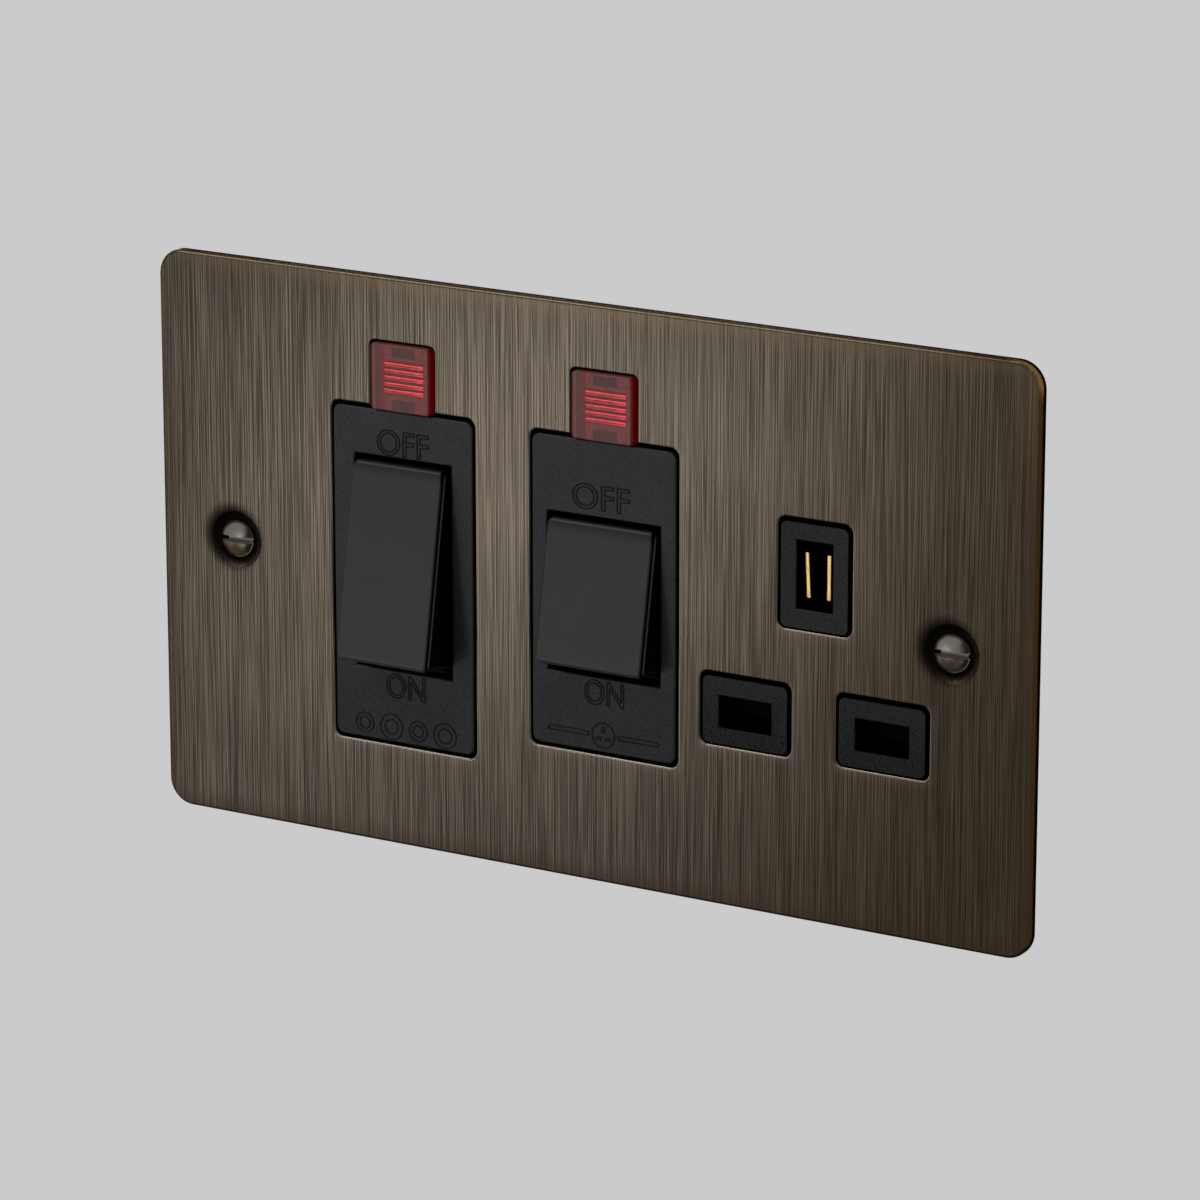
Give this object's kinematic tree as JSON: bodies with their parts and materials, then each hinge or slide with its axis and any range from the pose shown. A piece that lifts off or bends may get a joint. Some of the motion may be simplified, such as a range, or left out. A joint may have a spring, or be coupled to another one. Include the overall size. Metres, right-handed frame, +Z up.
{
  "type": "cooker control unit",
  "caption": "Wide flat metal wall plate with a long rocker switch, a shorter rocker switch, a neon lens over each, and a three-slot socket outlet.",
  "frame": {"origin": "centre of the plate, on the wall's surface", "axes": "+X to the right along the plate, +Y into the wall, +Z up; the face looks towards -Y"},
  "size_m": [0.147, 0.0317, 0.087],
  "materials": {
    "brass": "pressed brass",
    "foam": "soft closed-cell foam",
    "front_black": "satin moulded",
    "housing_black": "plain moulded",
    "lamp_glass": "clear glass",
    "neon_red": "clear red moulding",
    "plate_metal": "smoked bronze plating with an upright brushed grain",
    "rocker_black": "satin moulded",
    "screw_bronze": "smoked bronze plating, turned",
    "screw_steel": "zinc plated",
    "shutter_black": "plain moulded",
    "spring_steel": "bright wire"
  },
  "bodies": {
    "unit": {"cooker_neon_lamp": "lamp_glass", "cooker_neon_lens": "neon_red", "cooker_switch_front": "front_black", "earth_contact": "brass", "earth_left_clamp_screw": "screw_steel", "earth_right_clamp_screw": "screw_steel", "earth_terminal_left": "brass", "earth_terminal_right": "brass", "fixing_screw_left": "screw_bronze", "fixing_screw_right": "screw_bronze", "front_plate": "plate_metal", "housing_screw_lower_left": "screw_steel", "housing_screw_lower_right": "screw_steel", "housing_screw_upper_left": "screw_steel", "housing_screw_upper_right": "screw_steel", "line_feed": "brass", "load_line_clamp_screw": "screw_steel", "load_line_terminal": "brass", "load_neutral_clamp_screw": "screw_steel", "load_neutral_terminal": "brass", "neutral_feed": "brass", "rear_housing": "housing_black", "shutter_spring": "spring_steel", "socket_front": "front_black", "socket_line_contact": "brass", "socket_neon_lamp": "lamp_glass", "socket_neon_lens": "neon_red", "socket_neutral_contact": "brass", "supply_line_clamp_screw": "screw_steel", "supply_line_terminal": "brass", "supply_neutral_clamp_screw": "screw_steel", "supply_neutral_terminal": "brass", "wall_gasket": "foam"},
    "cooker_rocker": {"cooker_rocker": "rocker_black", "cooker_spring_line": "spring_steel", "cooker_spring_neutral": "spring_steel"},
    "socket_rocker": {"socket_rocker": "rocker_black", "socket_spring_line": "spring_steel", "socket_spring_neutral": "spring_steel"},
    "shutter": {"shutter": "shutter_black"},
    "cooker_plunger_line": {"cooker_plunger_line": "shutter_black"},
    "cooker_contact_arm_line": {"cooker_contact_arm_line": "brass"},
    "cooker_plunger_neutral": {"cooker_plunger_neutral": "shutter_black"},
    "cooker_contact_arm_neutral": {"cooker_contact_arm_neutral": "brass"},
    "socket_plunger_line": {"socket_plunger_line": "shutter_black"},
    "socket_contact_arm_line": {"socket_contact_arm_line": "brass"},
    "socket_plunger_neutral": {"socket_plunger_neutral": "shutter_black"},
    "socket_contact_arm_neutral": {"socket_contact_arm_neutral": "brass"}
  },
  "joints": [
    {"name": "cooker_switch", "type": "hinge", "parent": "unit", "child": "cooker_rocker", "pos_m": [-0.0306, -0.00064, 0], "axis": [1, 0, 0], "range_deg": [0, 20.4]},
    {"name": "cooker_plunger_line_slide", "type": "slide", "parent": "cooker_rocker", "child": "cooker_plunger_line", "axis": [0, -0.9842, 0.1771], "range_m": [0, 0.0008], "stiffness_N_per_m": 300, "springref_m": -0.001, "deforming": ["cooker_spring_line"]},
    {"name": "cooker_contact_line", "type": "hinge", "parent": "unit", "child": "cooker_contact_arm_line", "pos_m": [-0.0348, 0.0122, 0], "axis": [1, 0, 0], "range_deg": [-14, 0]},
    {"name": "cooker_plunger_neutral_slide", "type": "slide", "parent": "cooker_rocker", "child": "cooker_plunger_neutral", "axis": [0, -0.9842, 0.1771], "range_m": [0, 0.0008], "stiffness_N_per_m": 300, "springref_m": -0.001, "deforming": ["cooker_spring_neutral"]},
    {"name": "cooker_contact_neutral", "type": "hinge", "parent": "unit", "child": "cooker_contact_arm_neutral", "pos_m": [-0.0264, 0.0122, 0], "axis": [1, 0, 0], "range_deg": [-14, 0]},
    {"name": "socket_switch", "type": "hinge", "parent": "unit", "child": "socket_rocker", "pos_m": [0.0037, -0.00062, 0], "axis": [1, 0, 0], "range_deg": [0, 20.8]},
    {"name": "socket_plunger_line_slide", "type": "slide", "parent": "socket_rocker", "child": "socket_plunger_line", "axis": [0, -0.9836, 0.1805], "range_m": [0, 0.0008], "stiffness_N_per_m": 300, "springref_m": -0.001, "deforming": ["socket_spring_line"]},
    {"name": "socket_contact_line", "type": "hinge", "parent": "unit", "child": "socket_contact_arm_line", "pos_m": [-0.0005, 0.0122, 0], "axis": [1, 0, 0], "range_deg": [-14, 0]},
    {"name": "socket_plunger_neutral_slide", "type": "slide", "parent": "socket_rocker", "child": "socket_plunger_neutral", "axis": [0, -0.9836, 0.1805], "range_m": [0, 0.0008], "stiffness_N_per_m": 300, "springref_m": -0.001, "deforming": ["socket_spring_neutral"]},
    {"name": "socket_contact_neutral", "type": "hinge", "parent": "unit", "child": "socket_contact_arm_neutral", "pos_m": [0.0079, 0.0122, 0], "axis": [1, 0, 0], "range_deg": [-14, 0]},
    {"name": "shutter_slide", "type": "slide", "parent": "unit", "child": "shutter", "axis": [0, 0, -1], "range_m": [0, 0.0062], "stiffness_N_per_m": 60, "springref_m": -0.003, "deforming": ["shutter_spring"]}
  ],
  "couplings": [
    {"joint": "cooker_contact_line", "follows": "cooker_switch", "ratio": -0.68627},
    {"joint": "cooker_contact_neutral", "follows": "cooker_switch", "ratio": -0.68627},
    {"joint": "socket_contact_line", "follows": "socket_switch", "ratio": -0.67308},
    {"joint": "socket_contact_neutral", "follows": "socket_switch", "ratio": -0.67308}
  ]
}
